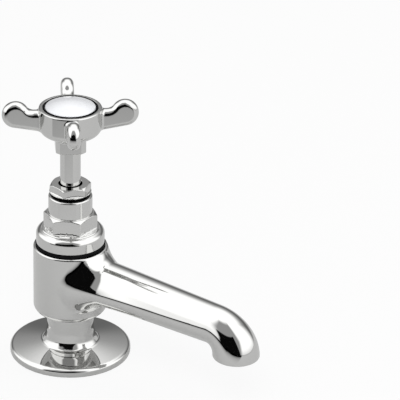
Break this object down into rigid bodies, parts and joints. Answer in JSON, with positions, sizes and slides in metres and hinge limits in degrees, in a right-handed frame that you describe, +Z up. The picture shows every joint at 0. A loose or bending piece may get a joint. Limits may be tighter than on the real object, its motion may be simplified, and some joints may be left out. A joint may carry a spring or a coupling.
{
  "type": "basin pillar tap",
  "caption": "Chrome basin pillar tap with a long falling spout, round deck flange, bare spindle and upright crosshead handle with a white domed index disc.",
  "frame": {"origin": "centre of the tail bore at the level of the base flange's underside, which rests on the deck of the basin", "axes": "+Z up along the tap's axis, -Y along the spout towards the user, +X to the right of a user who looks along +Y"},
  "size_m": [0.0566, 0.131, 0.1743],
  "materials": {
    "chrome": "bright chrome plate on cast brass",
    "brass": "turned, unplated",
    "steel": "plain stainless",
    "rubber": "black, matt",
    "porcelain": "glossy white glaze",
    "white_nylon": "moulded, satin",
    "grey_plastic": "moulded, semi-gloss"
  },
  "bodies": {
    "fixed_tap": {"tap_body": "chrome", "base_gasket": "rubber", "fixing_washer": "grey_plastic", "backnut": "brass", "body_seal": "rubber", "bonnet": "chrome", "gland_nut": "chrome", "gland_follower": "brass", "gland_packing": "white_nylon", "outlet_ring": "rubber", "outlet_insert": "white_nylon"},
    "valve": {"valve_jumper": "brass", "valve_washer": "rubber", "washer_nut": "brass"},
    "handle_set": {"spindle": "chrome", "handle": "chrome", "handle_screw": "steel", "index_carrier": "brass", "index_disc": "porcelain", "disc_ring": "rubber"}
  },
  "joints": [
    {"name": "valve_lift", "type": "slide", "parent": "fixed_tap", "child": "valve", "axis": [0, 0, 1], "range_m": [0, 0.00475]},
    {"name": "handle_turn", "type": "hinge", "parent": "valve", "child": "handle_set", "pos_m": [0, 0, 0], "axis": [0, 0, 1], "range_deg": [0, 673.23]}
  ],
  "couplings": [
    {"joint": "handle_turn", "follows": "valve_lift", "rad_per_m": 2473.7}
  ]
}
